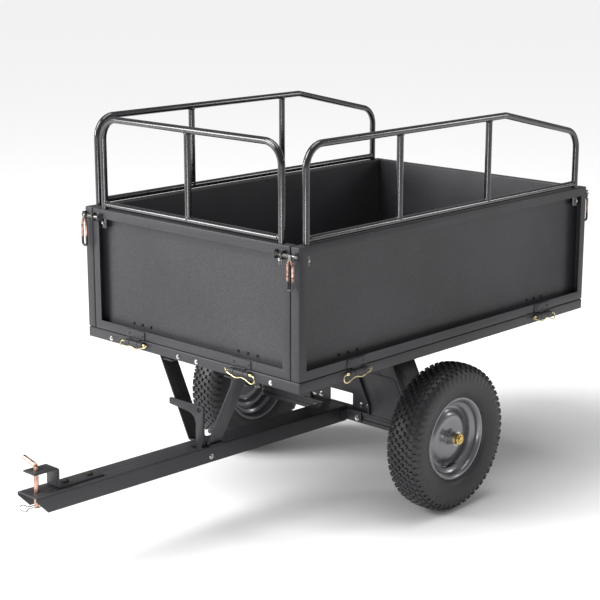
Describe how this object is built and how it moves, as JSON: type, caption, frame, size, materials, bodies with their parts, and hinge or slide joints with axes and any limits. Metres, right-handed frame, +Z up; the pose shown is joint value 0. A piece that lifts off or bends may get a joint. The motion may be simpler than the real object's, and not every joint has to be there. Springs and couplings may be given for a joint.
{
  "type": "tow behind cart",
  "caption": "Tow behind dump cart: tilting steel bed with hinged sides and tube rails, on a pneumatic-tyred axle with a channel drawbar and pin hitch.",
  "frame": {"origin": "centre of the bounding box, on the ground under the tyres", "axes": "+Z up, -Y forwards along the drawbar to the hitch, +X to the cart's left"},
  "size_m": [0.872, 1.762, 1.0673],
  "materials": {
    "powder_coat": "satin charcoal powder coat",
    "dark_coat": "satin black powder coat",
    "rail_tube": "glossy gunmetal coat",
    "rim_paint": "glossy dark grey paint",
    "tyre_rubber": "matt black rubber",
    "zinc_steel": "zinc plated steel",
    "copper_steel": "copper coloured plating",
    "brass_nut": "yellow passivated nut"
  },
  "bodies": {
    "chassis": {"drawbar": "powder_coat", "hitch_bracket": "powder_coat", "hitch_bolt_front": "zinc_steel", "hitch_bolt_rear": "zinc_steel", "drawbar_cross_bolt": "zinc_steel", "lever_spring": "zinc_steel", "axle_beam": "powder_coat", "stand_tie": "powder_coat", "axle_stub_left": "zinc_steel", "axle_nut_left": "brass_nut", "axle_stand_left": "powder_coat", "drawbar_bracket_left": "dark_coat", "pivot_pin_left": "zinc_steel", "axle_stub_right": "zinc_steel", "axle_nut_right": "brass_nut", "axle_stand_right": "powder_coat", "drawbar_bracket_right": "dark_coat", "pivot_pin_right": "zinc_steel"},
    "hitch_pin": {"hitch_pin": "copper_steel"},
    "hitch_clip": {"hitch_clip": "zinc_steel"},
    "foot_lever": {"foot_lever": "dark_coat"},
    "wheel_left": {"tyre_left": "tyre_rubber", "rim_left": "rim_paint", "hub_left": "rim_paint", "valve_stem_left": "tyre_rubber"},
    "wheel_right": {"tyre_right": "tyre_rubber", "rim_right": "rim_paint", "hub_right": "rim_paint", "valve_stem_right": "tyre_rubber"},
    "bed": {"bed_pan": "powder_coat", "front_cross_member": "dark_coat", "middle_cross_member": "dark_coat", "rear_cross_member": "dark_coat", "brace_foot": "dark_coat", "pivot_bracket_left": "dark_coat", "bed_rail_left": "dark_coat", "brace_strap_left": "dark_coat", "pivot_bracket_right": "dark_coat", "bed_rail_right": "dark_coat", "brace_strap_right": "dark_coat", "hinge_pin_front_1": "zinc_steel", "hinge_pin_front_2": "zinc_steel", "hinge_pin_rear_1": "zinc_steel", "hinge_pin_rear_2": "zinc_steel", "hinge_pin_left_1": "zinc_steel", "hinge_pin_left_2": "zinc_steel", "hinge_pin_right_1": "zinc_steel", "hinge_pin_right_2": "zinc_steel"},
    "front_panel": {"front_panel": "powder_coat"},
    "tailgate": {"tailgate": "powder_coat"},
    "side_panel_left": {"side_panel_left": "powder_coat"},
    "side_panel_right": {"side_panel_right": "powder_coat"},
    "front_rail": {"front_rail": "rail_tube"},
    "side_rail_left": {"side_rail_left": "rail_tube"},
    "side_rail_right": {"side_rail_right": "rail_tube"},
    "front_latch_left": {"front_latch_left": "copper_steel"},
    "front_latch_right": {"front_latch_right": "copper_steel"},
    "rear_latch_left": {"rear_latch_left": "copper_steel"},
    "rear_latch_right": {"rear_latch_right": "copper_steel"}
  },
  "joints": [
    {"name": "bed_dump", "type": "hinge", "parent": "chassis", "child": "bed", "pos_m": [0, 0.28637, 0.318], "axis": [-1, 0, 0], "range_deg": [0, 42]},
    {"name": "wheel_left_spin", "type": "hinge", "parent": "chassis", "child": "wheel_left", "pos_m": [0.381, 0.25537, 0.204], "axis": [1, 0, 0], "continuous": true},
    {"name": "wheel_right_spin", "type": "hinge", "parent": "chassis", "child": "wheel_right", "pos_m": [-0.381, 0.25537, 0.204], "axis": [1, 0, 0], "continuous": true},
    {"name": "front_panel_fold", "type": "hinge", "parent": "bed", "child": "front_panel", "pos_m": [0, -0.34593, 0.473], "axis": [1, 0, 0], "range_deg": [0, 90]},
    {"name": "tailgate_fold", "type": "hinge", "parent": "bed", "child": "tailgate", "pos_m": [0, 0.86867, 0.473], "axis": [-1, 0, 0], "range_deg": [0, 180]},
    {"name": "side_panel_left_fold", "type": "hinge", "parent": "bed", "child": "side_panel_left", "pos_m": [0.4073, 0.26137, 0.473], "axis": [0, 1, 0], "range_deg": [0, 90]},
    {"name": "side_panel_right_fold", "type": "hinge", "parent": "bed", "child": "side_panel_right", "pos_m": [-0.4073, 0.26137, 0.473], "axis": [0, -1, 0], "range_deg": [0, 90]},
    {"name": "front_rail_lift", "type": "slide", "parent": "front_panel", "child": "front_rail", "axis": [0, 0, 1], "range_m": [0, 0.06]},
    {"name": "side_rail_left_lift", "type": "slide", "parent": "side_panel_left", "child": "side_rail_left", "axis": [0, 0, 1], "range_m": [0, 0.06]},
    {"name": "side_rail_right_lift", "type": "slide", "parent": "side_panel_right", "child": "side_rail_right", "axis": [0, 0, 1], "range_m": [0, 0.06]},
    {"name": "front_latch_left_pull", "type": "slide", "parent": "front_panel", "child": "front_latch_left", "axis": [-1, 0, 0], "range_m": [0, 0.01], "stiffness_N_per_m": 500, "springref_m": -0.008},
    {"name": "front_latch_right_pull", "type": "slide", "parent": "front_panel", "child": "front_latch_right", "axis": [1, 0, 0], "range_m": [0, 0.01], "stiffness_N_per_m": 500, "springref_m": -0.008},
    {"name": "rear_latch_left_pull", "type": "slide", "parent": "tailgate", "child": "rear_latch_left", "axis": [-1, 0, 0], "range_m": [0, 0.01], "stiffness_N_per_m": 500, "springref_m": -0.008},
    {"name": "rear_latch_right_pull", "type": "slide", "parent": "tailgate", "child": "rear_latch_right", "axis": [1, 0, 0], "range_m": [0, 0.01], "stiffness_N_per_m": 500, "springref_m": -0.008},
    {"name": "foot_lever_tilt", "type": "hinge", "parent": "chassis", "child": "foot_lever", "pos_m": [0, -0.29519, 0.20036], "axis": [1, 0, 0], "range_deg": [0, 20], "stiffness_Nm_per_rad": 4, "springref_deg": -14.32},
    {"name": "hitch_pin_lift", "type": "slide", "parent": "chassis", "child": "hitch_pin", "axis": [0, 0.0171, 0.9999], "range_m": [0, 0.02]},
    {"name": "hitch_clip_pull", "type": "slide", "parent": "hitch_pin", "child": "hitch_clip", "axis": [0, -0.9999, 0.0171], "range_m": [0, 0.035]}
  ]
}
